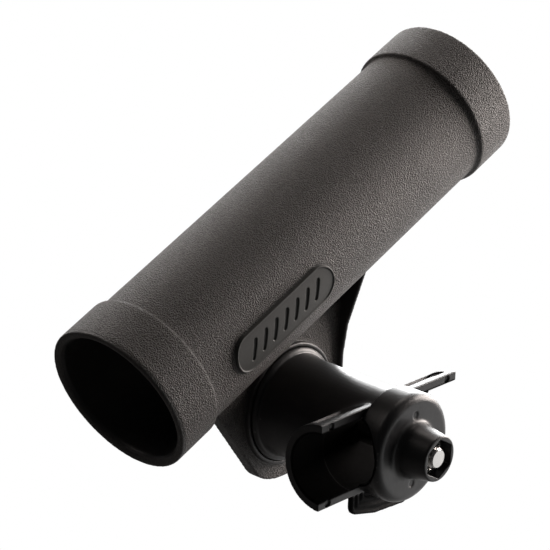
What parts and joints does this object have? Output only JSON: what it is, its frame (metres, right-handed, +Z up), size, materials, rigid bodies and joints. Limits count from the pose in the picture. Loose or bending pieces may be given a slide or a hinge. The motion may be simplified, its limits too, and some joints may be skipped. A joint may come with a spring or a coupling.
{
  "type": "rail-clamp rod holder",
  "caption": "Fishing rod holder: collared tube on a side bracket, serrated tilt joint, and an arm with a half-round saddle and cap that one through-bolt clamps to a rail.",
  "frame": {"origin": "where the bolt's axis crosses the rail's axis, on the plane where saddle and cap part", "axes": "+X along the rail, +Y along the bolt from the cap towards the rod tube, +Z up"},
  "size_m": [0.1992, 0.1038, 0.1584],
  "materials": {
    "textured_plastic": "pebbled, matte",
    "smooth_plastic": "satin",
    "stainless": "turned stainless steel"
  },
  "bodies": {
    "clamp_arm": {"saddle_arm": "smooth_plastic"},
    "lock_carrier": {"head_washer": "stainless"},
    "tube": {"rod_tube": "textured_plastic"},
    "bolt": {"clamp_bolt": "stainless"},
    "cap": {"clamp_cap": "smooth_plastic", "hex_nut": "stainless"}
  },
  "joints": [
    {"name": "tilt_lock", "type": "slide", "parent": "clamp_arm", "child": "lock_carrier", "axis": [0, -1, 0], "range_m": [0, 0.0012]},
    {"name": "tube_tilt", "type": "hinge", "parent": "lock_carrier", "child": "tube", "pos_m": [0, 0.0515, 0], "axis": [0, 1, 0], "continuous": true},
    {"name": "bolt_turn", "type": "hinge", "parent": "lock_carrier", "child": "bolt", "pos_m": [0, 0.06, 0], "axis": [0, 1, 0], "range_deg": [0, 1080]},
    {"name": "cap_travel", "type": "slide", "parent": "clamp_arm", "child": "cap", "axis": [0, -1, 0], "range_m": [0, 0.00423]}
  ],
  "couplings": [
    {"joint": "cap_travel", "follows": "bolt_turn", "m_per_rad": 0.00022457}
  ]
}
